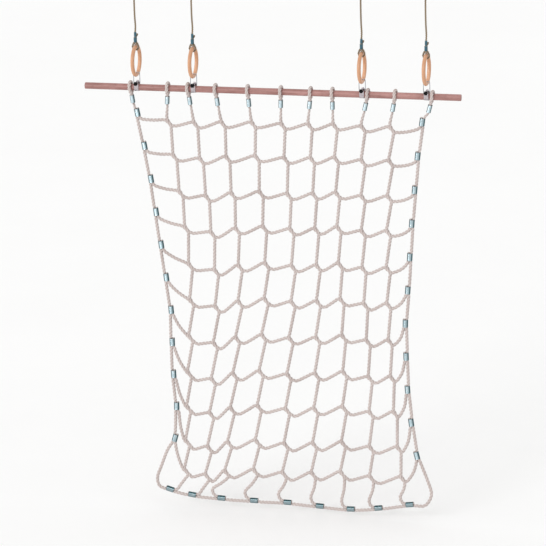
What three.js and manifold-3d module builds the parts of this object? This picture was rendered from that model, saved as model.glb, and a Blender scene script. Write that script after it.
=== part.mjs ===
// Climbing net for a sports hall: a rope net with 250 mm meshes, looped over a round wooden bar.
// The bar hangs in four steel stirrups from four wooden rings, each ring on a short ceiling rope.
// Millimetres. +X runs along the bar, -Y is the climbing side, +Z is up, and z = 0 is the ceiling.
import * as THREE from 'three';
import { mergeVertices } from 'three/addons/utils/BufferGeometryUtils.js';
import Module from 'manifold-3d';

// ---------------------------------------------------------------- driving dimensions
const gap = 0.35; // free space between pieces that touch
const ropeSides = 6;
const barSides = 32;
const ringSides = 6;
const ringSteps = 24; // round the ring
const shankSides = 10;
const washerSides = 14;
const pinSides = 8;
const lugHoleSides = 12;
const plateHoleSides = 8;

const barLength = 2780;
const barRadius = 24;
const barHeight = -880;
const hangerX = [-1000, -575, 670, 1140]; // the four places where the bar is held

const ringRadius = 103.5; // to the middle of the wood
const ringWood = 14; // radius of the wood
const ringHeight = barHeight + 199;

const linkWire = 2.5; // radius
const linkHalfWidth = 23;
const linkCorner = 7;
const linkSlack = 1.1; // how far the wire's corners reach, as a share of its radius
const boltRadius = 4;
const strapWidth = 34;
const strapThickness = 3;
const strapTop = 48; // above the bar's axis
const headThickness = 5.5;
const headAcross = 15;
const washerRadius = 11;
const washerThickness = 1.6;
const knobRadius = 15.5;
const knobDepth = 18;
const knobLobes = 6;
const lobeDepth = 1; // half of the difference between the knob's lobes and hollows
const boreDepth = 14; // of the threaded hole in the knob
const shankClearance = 2; // from the bolt's tip to the bottom of the knob's hole
const shankInHead = 1;

const hangerRope = 7; // radius
const pivotHeight = -40; // pin of the ceiling shackles
const bowRadius = 31;
const bowWire = 4;
const bowTurn = [0, 20, 40, 60, 80, 100, 120, 140, 160, 180]; // degrees
const plateSize = [90, 60, 6];
const plateHole = 4.5; // radius
const plateHoleX = 31;
const lugRadius = 9;
const lugWidth = 8;
const pinOverhang = 8; // of the shackle's pin past the middle of the bow's wire
const rootDepth = 1; // how far a piece reaches into the one that it is welded to
const eyeLegs = 8; // from the middle of a seizing to each of the rope's two legs
const eyeSlack = 0.8; // keeps the facets of an eye clear of what it goes round
const ringEyeTurn = [30, 0, -35, -70, -110, -145, -180, -210]; // degrees round the ring's top
const bowEyeTurn = [205, 170, 130, 90, 50, 10, -25]; // degrees round the shackle's bow
const ringEyeLegs = [36, 122]; // where the two legs run straight, above the ring's top
const ringSeizing = [32, 117];
const bowEyeLegs = [34, 96]; // below the bottom of the bow
const bowSeizing = [34, 90];
const seizingHalf = [2.4 * hangerRope, 1.4 * hangerRope];
const standingBend = [220, 120]; // where the standing part leaves the ring's end and reaches the bow's

const netRope = 11.5; // radius
const loopSlack = 2.5; // keeps the facets of an eye clear of the bar
const loopRadius = barRadius + gap + netRope + loopSlack; // rope's axis where it rounds the bar
const loopTurn = [202, -22]; // degrees round the bar, from the front leg to the back leg
const loopSteps = 8;
const ferruleLength = 55;
const ferruleHalf = [26, 17]; // half its width and half its thickness
const ferruleEnd = 4; // length over which a border ferrule's end tapers to the rope
const loopFerruleDrop = 88; // from the bar's axis to the middle of the ferrule
const loopLean = 0.35; // share of the way to the first row at which the loop ferrule lies
const legOffset = 13; // from the middle of a ferrule to each of its two ropes
const tailLength = 4; // of a rope's short end below its loop ferrule

// The net hangs drawn in at its waist. Columns are counted from the left, rows from the top.
const loopX = [-1050, -770, -620, -415, -175, 70, 290, 450, 710, 910, 1182];
const leftEdgeX = [-1015, -970, -930, -900, -870, -840, -812, -812, -810, -795, -815];
const rightEdgeX = [1113, 1076, 1050, 1025, 1006, 987, 965, 966, 972, 995, 1032];
const edgeStart = -190; // first border ferrule, below the bar's axis
const leftPitch = 249;
const rightPitch = 253;
const knotRows = [0, 4, 7, 10]; // rows at which the inner columns are set out
const columnX = [
  [-770, -645, -680, -730],
  [-570, -450, -500, -570],
  [-365, -270, -335, -420],
  [-140, -70, -135, -200],
  [80, 130, 75, 20],
  [280, 315, 285, 240],
  [465, 480, 495, 460],
  [670, 655, 685, 680],
  [880, 835, 850, 915],
];
const rowDrop = [255, 510, 780, 1045, 1325, 1600, 1880, 2160, 2430, 2700, 2930];
const columnDrop = [20, 65, 15, -15, 0, -15, -40, -10, -20]; // how far each column sags at most
const dropRows = 15; // rows over which that sag grows and dies away again
const bottomX = [-860, -690, -465, -215, 40, 285, 520, 730, 965];
const bottomDrop = [3100, 3135, 3150, 3155, 3155, 3170, 3180, 3160, 3120];
const bottomEntry = [1, 1, -1, -1, -1, -1, -1, -1, -1]; // side from which each column comes in
const endGap = 4; // from a border ferrule's taper to the end of the inner rope
const straightEnd = 16; // length of an inner rope's end that lies along the border rope
const crossing = [18, 23]; // half the run and half the fall of a crossing
const meshSag = [6, 24]; // fall of the first and the last row below the line between two crossings
const sagAt = [[0.2, 1], [0.6, 0.6]]; // shares of the span, and of the sag there
const firstSpan = [-10, -4]; // from the middle of a row's first span to its slackest point
const lastSpan = [14, -8];
const footShoulder = 8; // how far a column from the left swings out below its last crossing
const footBulge = [20, 50]; // run and rise of a column's lower curve from its ferrule
const footBend = [17, 16];
const footDepth = [0.5, 0.2]; // how far behind the border these two lie, as shares of a column's depth
const straightFoot = 0.6; // share of the way that the columns from the right come down in a straight line
const leftCorner = [[-5, 325], [-60, 190], [-93, 95], [-80, 32]]; // from the first bottom ferrule
const rightCorner = [[108, 6], [145, 45], [163, 105], [136, 205], [97, 310]]; // from the last one

const rows = rowDrop.length;
const columns = columnX.length;

// ---------------------------------------------------------------- small tools
const wasm = await Module();
wasm.setup();

const X = new THREE.Vector3(1, 0, 0);
const Y = new THREE.Vector3(0, 1, 0);
const Z = new THREE.Vector3(0, 0, 1);
const alongX = new THREE.Matrix4().makeBasis(Y, Z, X);
const alongFront = new THREE.Matrix4().makeBasis(X, Z, Y.clone().negate());
const vec = (x, y, z) => new THREE.Vector3(x, y, z);

function toSolid(geometry) {
  const bare = geometry.clone();
  bare.deleteAttribute('normal');
  bare.deleteAttribute('uv');
  const merged = mergeVertices(bare, 1e-3);
  const vertProperties = merged.attributes.position.array;
  const triVerts = new Uint32Array(merged.index.array);
  return new wasm.Manifold(new wasm.Mesh({ numProp: 3, vertProperties, triVerts }));
}

function toGeometry(solid) {
  const mesh = solid.getMesh();
  const geometry = new THREE.BufferGeometry();
  geometry.setAttribute('position', new THREE.BufferAttribute(mesh.vertProperties, 3));
  geometry.setIndex(new THREE.BufferAttribute(mesh.triVerts, 1));
  return geometry;
}

function join(geometries) {
  const solids = geometries.map(toSolid);
  return toGeometry(solids.reduce((whole, piece) => whole.add(piece)));
}

function cut(geometry, tools) {
  return toGeometry(tools.map(toSolid).reduce((left, tool) => left.subtract(tool), toSolid(geometry)));
}

// A path that passes through every point of a list, with one cross-section at each.
class PointPath extends THREE.Curve {
  constructor(points, closed = false) {
    super();
    this.points = points;
    this.closed = closed;
  }
  getPointAt(u) {
    const count = this.closed ? this.points.length : this.points.length - 1;
    return this.points[Math.round(u * count) % this.points.length].clone();
  }
  getTangentAt(u) {
    const last = this.points.length;
    const i = Math.round(u * (this.closed ? last : last - 1));
    const after = this.closed ? (i + 1) % last : Math.min(i + 1, last - 1);
    const before = this.closed ? (i - 1 + last) % last : Math.max(i - 1, 0);
    const here = this.points[i % last];
    const tangent = vec(0, 0, 0);
    if (after !== i) tangent.add(this.points[after].clone().sub(here).normalize());
    if (before !== i) tangent.add(here.clone().sub(this.points[before]).normalize());
    return tangent.normalize();
  }
}

// Corner radius of the regular polygon that has the same area as a circle of radius 1.
const cornerReach = (sides) => Math.sqrt((2 * Math.PI) / (sides * Math.sin((2 * Math.PI) / sides)));

// A polygon with the same area as the circle it stands for, so that a rope keeps its volume.
function section(radius, sides) {
  const reach = radius * cornerReach(sides);
  const corners = Array.from({ length: sides }, (_, i) => (2 * Math.PI * i) / sides);
  return new THREE.Shape(corners.map((a) => new THREE.Vector2(reach * Math.cos(a), reach * Math.sin(a))));
}

function tube(points, radius) {
  const extrudePath = new PointPath(points);
  return new THREE.ExtrudeGeometry(section(radius, ropeSides), { steps: points.length - 1, extrudePath });
}

function prism(shape, depth, curveSegments = 8) {
  return new THREE.ExtrudeGeometry(shape, { depth, curveSegments, bevelEnabled: false });
}

function disc(radius, depth, sides) {
  return prism(section(radius, sides), depth);
}

// An oval, as a pressed sleeve or a seizing has, round two ropes side by side.
function ovalPrism(halfWidth, halfThickness, length) {
  const flat = halfWidth - halfThickness;
  const shape = new THREE.Shape();
  shape.absarc(flat, 0, halfThickness, -Math.PI / 2, Math.PI / 2);
  shape.absarc(-flat, 0, halfThickness, Math.PI / 2, (3 * Math.PI) / 2);
  return prism(shape, length, 2).translate(0, 0, -length / 2);
}

// ---------------------------------------------------------------- where the net's crossings lie
// A smooth value at any row, through the values set out at knotRows.
function alongColumn(values, row) {
  let k = 0;
  while (k < knotRows.length - 2 && row > knotRows[k + 1]) k += 1;
  const slope = (i) => {
    const before = Math.max(i - 1, 0);
    const after = Math.min(i + 1, knotRows.length - 1);
    return (values[after] - values[before]) / (knotRows[after] - knotRows[before]);
  };
  const span = knotRows[k + 1] - knotRows[k];
  const t = (row - knotRows[k]) / span;
  const rest = 1 - t;
  return (
    values[k] * (1 + 2 * t) * rest * rest +
    values[k + 1] * (3 - 2 * t) * t * t +
    slope(k) * span * t * rest * rest -
    slope(k + 1) * span * rest * t * t
  );
}

function crossingAt(row, column) {
  const sag = columnDrop[column] * Math.sin((Math.PI * (row + 1)) / dropRows);
  return [alongColumn(columnX[column], row), barHeight - rowDrop[row] - sag];
}

const enter = ([x, z], y) => vec(x - crossing[0], y, z + crossing[1]);
const leave = ([x, z], y) => vec(x + crossing[0], y, z - crossing[1]);

function borderFerrules() {
  const left = leftEdgeX.map((x, i) => vec(x, 0, barHeight + edgeStart - leftPitch * i));
  const right = rightEdgeX.map((x, i) => vec(x, 0, barHeight + edgeStart - rightPitch * i));
  const bottom = bottomX.map((x, i) => vec(x, 0, barHeight - bottomDrop[i]));
  return { left, right, bottom };
}
const border = borderFerrules();

const cornerPoints = (offsets, ferrule) => offsets.map(([x, z]) => vec(ferrule.x + x, 0, ferrule.z + z));
const lowLeft = cornerPoints(leftCorner, border.bottom[0]);
const lowRight = cornerPoints(rightCorner, border.bottom.at(-1));
// What the border rope passes before the first and after the last ferrule of a side.
const besides = new Map([
  [border.left, [null, lowLeft[0]]],
  [border.bottom, [lowLeft.at(-1), lowRight[0]]],
  [border.right, [null, lowRight.at(-1)]],
]);

// Direction of the border rope through a ferrule, halfway between the ways to its two neighbours.
function directionIn(list, i) {
  const [first, last] = besides.get(list);
  const here = list[i];
  const before = list[i - 1] ?? first ?? here;
  const after = list[i + 1] ?? last ?? here;
  const from = here.clone().sub(before).normalize();
  return after.clone().sub(here).normalize().add(from).normalize();
}

// Where an inner rope meets a border ferrule: beside the border rope, butted on the ferrule's end.
function buttAt(list, i, towards, inward) {
  const along = directionIn(list, i).multiplyScalar(towards);
  const end = list[i].clone().addScaledVector(inward(list, i), 2 * legOffset);
  end.addScaledVector(along, ferruleLength / 2 + ferruleEnd + endGap);
  return [end, end.clone().addScaledVector(along, straightEnd)];
}

// Across the border rope, from the left side or the bottom, and from the right side.
const acrossLeft = (list, i) => {
  const d = directionIn(list, i);
  return vec(-d.z, 0, d.x);
};
const acrossRight = (list, i) => acrossLeft(list, i).negate();

// ---------------------------------------------------------------- ropes of the net
// The eye over the bar: the short end in front, over the bar, and down behind into the ferrule.
function loopPoints(x, nextX) {
  const lean = (drop) => x + ((nextX - x) * loopLean * drop) / loopFerruleDrop;
  const low = loopFerruleDrop + ferruleLength / 2;
  const high = loopFerruleDrop - ferruleLength / 2;
  const [from, to] = loopTurn;
  const round = Array.from({ length: loopSteps + 1 }, (_, i) => {
    const a = THREE.MathUtils.degToRad(from + ((to - from) * i) / loopSteps);
    const drop = Math.max(0, -loopRadius * Math.sin(a));
    return vec(lean(drop), loopRadius * Math.cos(a), barHeight + loopRadius * Math.sin(a));
  });
  return [
    vec(lean(low + tailLength), -legOffset, barHeight - low - tailLength),
    vec(lean(high - tailLength), -legOffset, barHeight - high + tailLength),
    ...round,
    vec(lean(high - tailLength), legOffset, barHeight - high + tailLength),
    vec(lean(low + tailLength), legOffset, barHeight - low - tailLength),
  ];
}

function loopFerrule(x, nextX) {
  const shift = (nextX - x) * loopLean;
  const turned = new THREE.Matrix4().makeRotationY(Math.atan2(-shift, loopFerruleDrop) + Math.PI);
  return ovalPrism(ferruleHalf[0], ferruleHalf[1], ferruleLength)
    .rotateZ(Math.PI / 2)
    .applyMatrix4(turned)
    .translate(x + shift, 0, barHeight - loopFerruleDrop);
}

// Swells the border rope into a ferrule between two of its cross-sections, towards the inside.
function swellFerrule(geometry, list, i, inward) {
  const along = directionIn(list, i);
  const width = inward(list, i);
  const position = geometry.attributes.position;
  const corner = netRope * cornerReach(ropeSides);
  for (let v = 0; v < position.count; v += 1) {
    const local = new THREE.Vector3().fromBufferAttribute(position, v).sub(list[i]);
    const onAxis = local.dot(along);
    if (Math.abs(onAxis) > ferruleLength / 2 + gap || local.length() > ferruleLength) continue;
    const spread = legOffset + (local.dot(width) * ferruleHalf[0]) / corner;
    const thick = (local.y * ferruleHalf[1]) / corner;
    const moved = list[i].clone().addScaledVector(along, onAxis).addScaledVector(width, spread);
    position.setXYZ(v, moved.x, thick, moved.z);
  }
}

function verticalRope(column) {
  const y = legOffset;
  const first = enter(crossingAt(0, column), y);
  const top = loopPoints(loopX[column + 1], first.x);
  const middle = [];
  for (let row = 0; row < rows; row += 1) {
    middle.push(enter(crossingAt(row, column), y), leave(crossingAt(row, column), y));
  }
  const side = bottomEntry[column];
  const [end, turnIn] = buttAt(border.bottom, column, side, acrossLeft);
  const last = middle.at(-1);
  const [bulgeY, bendY] = footDepth.map((share) => share * y);
  const bulge = vec(turnIn.x + footBulge[0] * side, bulgeY, turnIn.z + footBulge[1]);
  if (side > 0) bulge.lerpVectors(last, turnIn, straightFoot).setY(bulgeY);
  const bend = vec(turnIn.x + footBend[0] * side, bendY, turnIn.z + footBend[1]);
  const out = side > 0 ? 0 : footShoulder;
  const shoulder = vec((last.x + bulge.x) / 2 + out, y, (last.z + bulge.z) / 2);
  const path = [...top, ...middle, shoulder, bulge, bend, turnIn, end];
  return join([tube(path, netRope), loopFerrule(loopX[column + 1], first.x)]);
}

// A row between the border ferrules, in front of the columns, with a slack curve in every mesh.
function horizontalRope(row) {
  const y = -legOffset;
  const sag = THREE.MathUtils.lerp(...meshSag, row / (rows - 1));
  const [start, below] = buttAt(border.left, row, 1, acrossLeft);
  const [end, under] = buttAt(border.right, row, 1, acrossRight);
  const slackest = (a, b, [run, rise]) => vec((a.x + b.x) / 2 + run, y, (a.z + b.z) / 2 + rise);
  const path = [start, below, slackest(below, enter(crossingAt(row, 0), y), firstSpan)];
  for (let column = 0; column < columns; column += 1) {
    const here = crossingAt(row, column);
    path.push(enter(here, y), leave(here, y));
    if (column < columns - 1) {
      const from = leave(here, y);
      const to = enter(crossingAt(row, column + 1), y);
      sagAt.forEach(([t, share]) => path.push(from.clone().lerp(to, t).add(vec(0, 0, -share * sag))));
    }
  }
  path.push(slackest(path.at(-1), under, lastSpan), under, end);
  return tube(path, netRope);
}

function borderRope() {
  const half = ferruleLength / 2;
  const through = (list, i, sign) => {
    const along = directionIn(list, i).multiplyScalar(sign);
    const stations = [-half - ferruleEnd, -half, half, half + ferruleEnd];
    return stations.map((step) => list[i].clone().addScaledVector(along, step));
  };
  const side = (list, sign) => {
    const points = [];
    const order = list.map((_, i) => (sign > 0 ? i : list.length - 1 - i));
    order.forEach((i) => points.push(...through(list, i, sign)));
    return points;
  };
  const path = [
    ...loopPoints(loopX[0], leftEdgeX[0]),
    ...side(border.left, 1),
    ...lowLeft,
    ...side(border.bottom, 1),
    ...lowRight,
    ...side(border.right, -1),
    ...loopPoints(loopX.at(-1), rightEdgeX[0]).reverse(),
  ];
  const rope = tube(path, netRope);
  border.left.forEach((_, i) => swellFerrule(rope, border.left, i, acrossLeft));
  border.right.forEach((_, i) => swellFerrule(rope, border.right, i, acrossRight));
  border.bottom.forEach((_, i) => swellFerrule(rope, border.bottom, i, acrossLeft));
  return join([
    rope,
    loopFerrule(loopX[0], leftEdgeX[0]),
    loopFerrule(loopX.at(-1), rightEdgeX[0]),
  ]);
}

// ---------------------------------------------------------------- bar, rings and fittings
function bar() {
  return disc(barRadius, barLength, barSides)
    .applyMatrix4(alongX)
    .translate(-barLength / 2, 0, barHeight);
}

function ring(x) {
  return new THREE.TorusGeometry(ringRadius, ringWood, ringSides, ringSteps)
    .rotateY(Math.PI / 2)
    .translate(x, 0, ringHeight);
}

// A closed wire link: its top side rests in the ring, its bottom side lies under the bolt.
function link(x) {
  const low = barHeight + barRadius + gap + linkSlack * linkWire;
  const high = ringHeight - ringRadius + ringWood + gap + linkSlack * linkWire;
  const wide = linkHalfWidth - linkCorner;
  const corners = [
    [wide, high - linkCorner, 0],
    [-wide, high - linkCorner, 90],
    [-wide, low + linkCorner, 180],
    [wide, low + linkCorner, 270],
  ];
  const points = corners.flatMap(([cx, cz, start]) =>
    [0, 30, 60, 90].map((step) => {
      const a = THREE.MathUtils.degToRad(start + step);
      return vec(x + cx + linkCorner * Math.cos(a), 0, cz + linkCorner * Math.sin(a));
    }),
  );
  const wire = linkWire * cornerReach(ropeSides);
  return new THREE.TubeGeometry(new PointPath(points, true), points.length, wire, ropeSides, true);
}

const boltHeight = barHeight + barRadius + 3 * gap + 2 * linkSlack * linkWire + boltRadius;
const strapInner = barRadius + 2 * gap;
const strapOuter = strapInner + strapThickness;

function strap(x) {
  const shape = new THREE.Shape();
  shape.moveTo(strapOuter, strapTop);
  shape.lineTo(strapInner, strapTop);
  shape.absarc(0, 0, strapInner, 0, -Math.PI, true);
  shape.lineTo(-strapInner, strapTop);
  shape.lineTo(-strapOuter, strapTop);
  shape.absarc(0, 0, strapOuter, Math.PI, 2 * Math.PI, false);
  const band = prism(shape, strapWidth, 6)
    .applyMatrix4(alongX)
    .translate(x - strapWidth / 2, 0, barHeight);
  const drill = disc(boltRadius + gap, 4 * strapOuter, shankSides)
    .applyMatrix4(alongFront)
    .translate(x, 2 * strapOuter, boltHeight);
  return cut(band, [drill]);
}

function bolt(x) {
  const back = strapOuter + gap;
  const tip = strapOuter + washerThickness + 3 * gap + boreDepth - shankClearance;
  const corner = headAcross / Math.sqrt(3);
  const head = new THREE.CylinderGeometry(corner, corner, headThickness, 6)
    .translate(x, back + headThickness / 2, boltHeight);
  const shank = disc(boltRadius, back + tip + shankInHead, shankSides)
    .applyMatrix4(alongFront)
    .translate(x, back + shankInHead, boltHeight);
  return join([head, shank]);
}

function washer(x) {
  const shape = section(washerRadius, washerSides);
  shape.holes.push(new THREE.Path(section(boltRadius + gap, shankSides).getPoints()));
  return prism(shape, washerThickness)
    .applyMatrix4(alongFront)
    .translate(x, -strapOuter - gap, boltHeight);
}

function knob(x) {
  const count = 4 * knobLobes;
  const outline = Array.from({ length: count }, (_, i) => {
    const a = (2 * Math.PI * i) / count;
    const r = knobRadius - lobeDepth + lobeDepth * Math.cos(knobLobes * a);
    return new THREE.Vector2(r * Math.cos(a), r * Math.sin(a));
  });
  const back = -strapOuter - washerThickness - 2 * gap;
  const body = prism(new THREE.Shape(outline), knobDepth)
    .applyMatrix4(alongFront)
    .translate(x, back, boltHeight);
  const bore = disc(boltRadius + gap, boreDepth + rootDepth, shankSides)
    .applyMatrix4(alongFront)
    .translate(x, back + rootDepth, boltHeight);
  return cut(body, [bore]);
}

// ---------------------------------------------------------------- ceiling ropes and fittings
// One rope: an eye seized round the ring, the standing part, and an eye seized over the shackle bow.
function hangerRopePoints(x) {
  const ringTop = ringHeight + ringRadius;
  const bowBottom = pivotHeight - bowRadius;
  const ropeReach = hangerRope * cornerReach(ropeSides);
  const ringEye = ringWood + gap + ropeReach + eyeSlack;
  const bowEye = bowWire + gap + ropeReach + eyeSlack;
  const low = ringEyeTurn.map(THREE.MathUtils.degToRad);
  const high = bowEyeTurn.map(THREE.MathUtils.degToRad);
  const [standingLow, standingHigh] = standingBend;
  return [
    vec(x + eyeLegs, 0, ringTop + ringEyeLegs[1]),
    vec(x + eyeLegs, 0, ringTop + ringEyeLegs[0]),
    ...low.map((a) => vec(x + ringEye * Math.cos(a), 0, ringTop + ringEye * Math.sin(a))),
    vec(x - eyeLegs, 0, ringTop + ringEyeLegs[0]),
    vec(x - eyeLegs, 0, ringTop + ringEyeLegs[1]),
    vec(x - eyeLegs / 2, 0, ringTop + standingLow),
    vec(x, eyeLegs / 2, bowBottom - standingHigh),
    vec(x, eyeLegs, bowBottom - bowEyeLegs[1]),
    vec(x, eyeLegs, bowBottom - bowEyeLegs[0]),
    ...high.map((a) => vec(x, -bowEye * Math.cos(a), bowBottom + bowEye * Math.sin(a))),
    vec(x, -eyeLegs, bowBottom - bowEyeLegs[0]),
    vec(x, -eyeLegs, bowBottom - bowEyeLegs[1]),
  ];
}

function ropeOfHanger(x) {
  const ringTop = ringHeight + ringRadius;
  const bowBottom = pivotHeight - bowRadius;
  const middle = ([from, to]) => (from + to) / 2;
  const lowSeizing = ovalPrism(...seizingHalf, ringSeizing[1] - ringSeizing[0])
    .translate(x, 0, ringTop + middle(ringSeizing));
  const highSeizing = ovalPrism(...seizingHalf, bowSeizing[1] - bowSeizing[0])
    .rotateZ(Math.PI / 2)
    .translate(x, 0, bowBottom - middle(bowSeizing));
  return join([tube(hangerRopePoints(x), hangerRope), lowSeizing, highSeizing]);
}

// A half-round bow with a pin across its ends, which turns in the ceiling lug.
function shackle(x) {
  const turn = bowTurn.map(THREE.MathUtils.degToRad);
  const bow = tube(
    turn.map((a) => vec(x + bowRadius * Math.cos(a), 0, pivotHeight - bowRadius * Math.sin(a))),
    bowWire,
  );
  const pin = disc(bowWire, 2 * (bowRadius + pinOverhang), pinSides)
    .applyMatrix4(alongX)
    .translate(x - bowRadius - pinOverhang, 0, pivotHeight);
  return join([bow, pin]);
}

function ceilingEye(x) {
  const [long, wide, thick] = plateSize;
  const outline = new THREE.Shape();
  outline.moveTo(-long / 2, -wide / 2);
  outline.lineTo(long / 2, -wide / 2);
  outline.lineTo(long / 2, wide / 2);
  outline.lineTo(-long / 2, wide / 2);
  [-plateHoleX, plateHoleX].forEach((holeX) => {
    const hole = section(plateHole, plateHoleSides).getPoints();
    outline.holes.push(new THREE.Path(hole.map((p) => p.add(new THREE.Vector2(holeX, 0)))));
  });
  const plate = prism(outline, thick).translate(x, 0, -thick);
  const lugShape = new THREE.Shape();
  lugShape.moveTo(lugRadius, rootDepth - thick);
  lugShape.lineTo(-lugRadius, rootDepth - thick);
  lugShape.absarc(0, pivotHeight, lugRadius, Math.PI, 2 * Math.PI, false);
  const eye = section(bowWire + gap, lugHoleSides).getPoints();
  lugShape.holes.push(new THREE.Path(eye.map((p) => p.add(new THREE.Vector2(0, pivotHeight)))));
  const lug = prism(lugShape, lugWidth, 3)
    .applyMatrix4(alongX)
    .translate(x - lugWidth / 2, 0, 0);
  return join([plate, lug]);
}

// ---------------------------------------------------------------- materials and assembly
const material = (color, roughness, metalness = 0) =>
  new THREE.MeshStandardMaterial({ color, roughness, metalness });
const materials = {
  netRope: () => material(0xcfc3bf, 0.85),
  hangerRope: () => material(0x8d7c63, 0.9),
  bar: () => material(0xb98a86, 0.55),
  ring: () => material(0xe3ab82, 0.5),
  wire: () => material(0xb9bcc2, 0.3, 1),
  chrome: () => material(0xc8cace, 0.2, 1),
  knob: () => material(0x111113, 0.5),
  fitting: () => material(0x9fa4a8, 0.4, 1),
};

const group = new THREE.Group();
function add(name, geometry, finish) {
  const mesh = new THREE.Mesh(geometry, finish());
  mesh.name = name;
  group.add(mesh);
}

add('bar', bar(), materials.bar);
hangerX.forEach((x, i) => {
  const n = i + 1;
  add(`ceiling_eye_${n}`, ceilingEye(x), materials.fitting);
  add(`shackle_${n}`, shackle(x), materials.fitting);
  add(`hanger_rope_${n}`, ropeOfHanger(x), materials.hangerRope);
  add(`ring_${n}`, ring(x), materials.ring);
  add(`link_${n}`, link(x), materials.wire);
  add(`strap_${n}`, strap(x), materials.chrome);
  add(`bolt_${n}`, bolt(x), materials.fitting);
  add(`washer_${n}`, washer(x), materials.fitting);
  add(`knob_${n}`, knob(x), materials.knob);
});
add('border_rope', borderRope(), materials.netRope);
for (let column = 0; column < columns; column += 1) {
  add(`vertical_rope_${column + 1}`, verticalRope(column), materials.netRope);
}
for (let row = 0; row < rows; row += 1) {
  add(`horizontal_rope_${row + 1}`, horizontalRope(row), materials.netRope);
}

export default group;
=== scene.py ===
import math

import bmesh
import bpy
import numpy as np
from mathutils import Matrix, Vector


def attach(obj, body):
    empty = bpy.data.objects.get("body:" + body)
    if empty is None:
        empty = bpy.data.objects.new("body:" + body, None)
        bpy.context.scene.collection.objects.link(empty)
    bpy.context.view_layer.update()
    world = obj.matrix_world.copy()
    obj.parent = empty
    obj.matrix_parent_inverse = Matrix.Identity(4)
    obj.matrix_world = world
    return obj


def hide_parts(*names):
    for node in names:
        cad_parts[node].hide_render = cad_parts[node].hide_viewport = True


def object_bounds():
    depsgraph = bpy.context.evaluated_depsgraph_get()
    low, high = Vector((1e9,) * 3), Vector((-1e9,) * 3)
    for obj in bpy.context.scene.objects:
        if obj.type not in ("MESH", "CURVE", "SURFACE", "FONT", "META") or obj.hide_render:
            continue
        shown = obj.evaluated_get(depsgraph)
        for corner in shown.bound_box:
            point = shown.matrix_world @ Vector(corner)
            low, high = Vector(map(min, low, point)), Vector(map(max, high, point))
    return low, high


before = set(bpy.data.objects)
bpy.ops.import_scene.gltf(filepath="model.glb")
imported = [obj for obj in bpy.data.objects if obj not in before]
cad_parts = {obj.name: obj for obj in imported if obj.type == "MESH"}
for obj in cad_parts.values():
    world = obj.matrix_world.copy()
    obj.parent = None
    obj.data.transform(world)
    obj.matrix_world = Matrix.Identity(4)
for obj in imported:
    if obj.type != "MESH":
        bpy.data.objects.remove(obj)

# A rope climbing net, looped over a wooden bar that hangs in four rings on ceiling ropes.
# Lengths here are millimetres in the part's frame, and each mesh is scaled to metres as it is made.
# Only the camera and the studio are in metres.
MM = 0.001
cad_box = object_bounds()
rng = np.random.default_rng(7)

# ---------- driving dimensions
BAR_LENGTH, BAR_RADIUS, BAR_Z = 2780, 24, -880
HANGER_X = [-1000, -575, 670, 1140]
RING_RADIUS, RING_WOOD = 103.5, 14
RING_Z = BAR_Z + 199
LINK_WIRE, LINK_HALF, LINK_CORNER = 2.5, 23, 7
LINK_LOW, LINK_HIGH = BAR_Z + 27.1, RING_Z - 86.4
BOLT_Z, BOLT_RADIUS = BAR_Z + 34.55, 4
STRAP_WIDTH, STRAP_INNER, STRAP_OUTER, STRAP_TOP = 34, 24.7, 27.7, 48
EAR_FOOT, EAR_SHARE = 26, 0.4  # the strap's ears narrow from this height to this share of their width
KNOB_BACK = -30.0
PIVOT_Z, BOW_RADIUS, BOW_WIRE = -40, 31, 4
HANGER_ROPE, HANGER_LAY = 7, 46
NET_ROPE, NET_LAY = 13, 80

# The net hangs drawn in at its waist. Columns are counted from the left, rows from the top.
# Drops are measured down from the bar's axis.
LOOP_X = [-1050, -770, -620, -415, -175, 70, 290, 450, 710, 910, 1182]
LEFT_X = [-1015, -970, -930, -900, -870, -840, -812, -812, -810, -795, -815]
RIGHT_X = [1113, 1076, 1050, 1025, 1006, 987, 965, 966, 972, 995, 1032]
EDGE_START, LEFT_PITCH, RIGHT_PITCH = -190, 249, 253
KNOT_ROWS = [0, 4, 7, 10]  # the rows that COLUMN_X is given for
COLUMN_X = [
    [-770, -645, -680, -730],
    [-570, -450, -500, -570],
    [-365, -270, -335, -420],
    [-140, -70, -135, -200],
    [80, 130, 75, 20],
    [280, 315, 285, 240],
    [465, 480, 495, 460],
    [670, 655, 685, 680],
    [880, 835, 850, 915],
]
ROW_DROP = [255, 510, 780, 1045, 1325, 1600, 1880, 2160, 2430, 2700, 2930]
COLUMN_DROP = [20, 65, 15, -15, 0, -15, -40, -10, -20]  # how much lower each column's crossings lie
DROP_WAVE = 15  # in rows, the half wave that COLUMN_DROP follows down the net
BOTTOM_X = [-860, -690, -465, -215, 40, 285, 520, 730, 965]
BOTTOM_DROP = [3100, 3135, 3150, 3155, 3155, 3170, 3180, 3160, 3120]
BOTTOM_ENTRY = [1, 1, -1, -1, -1, -1, -1, -1, -1]  # 1 where a column enters its ferrule from the right
CROSS_RUN, CROSS_FALL = 18, 23  # a rope enters a crossing this far to the left and this far above
MESH_SAG = (6, 24)  # in the first and in the last row
SAG_AT = ((0.2, 1.0), (0.6, 0.6))  # shares of a span, and of the sag there
SAG_SPREAD = 0.25  # how far a span's sag may lie from its row's
COLUMN_POINTS = (0.15, 0.85)  # shares of a column's span between two crossings
ROW_START, ROW_END = (-10, 0, -8), (14, 0, -10)  # how a row's first and last span bend off the straight
FOOT_POINTS = (0.2, 0.45, 0.7)  # shares of a column's last span, where it runs in from the right
FOOT_BULGE, FOOT_ASIDE = (20, 50), 8  # how it swings out where it runs in from the left
FOOT_TURN = (13, 14)  # how it turns into its ferrule
LEFT_CORNER = [(-5, 325), (-60, 190), (-93, 95), (-80, 32)]  # from the first bottom ferrule
RIGHT_CORNER = [(108, 6), (145, 45), (163, 105), (136, 205), (97, 310)]  # from the last one
ROWS, COLUMNS = len(ROW_DROP), len(COLUMN_X)

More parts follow.
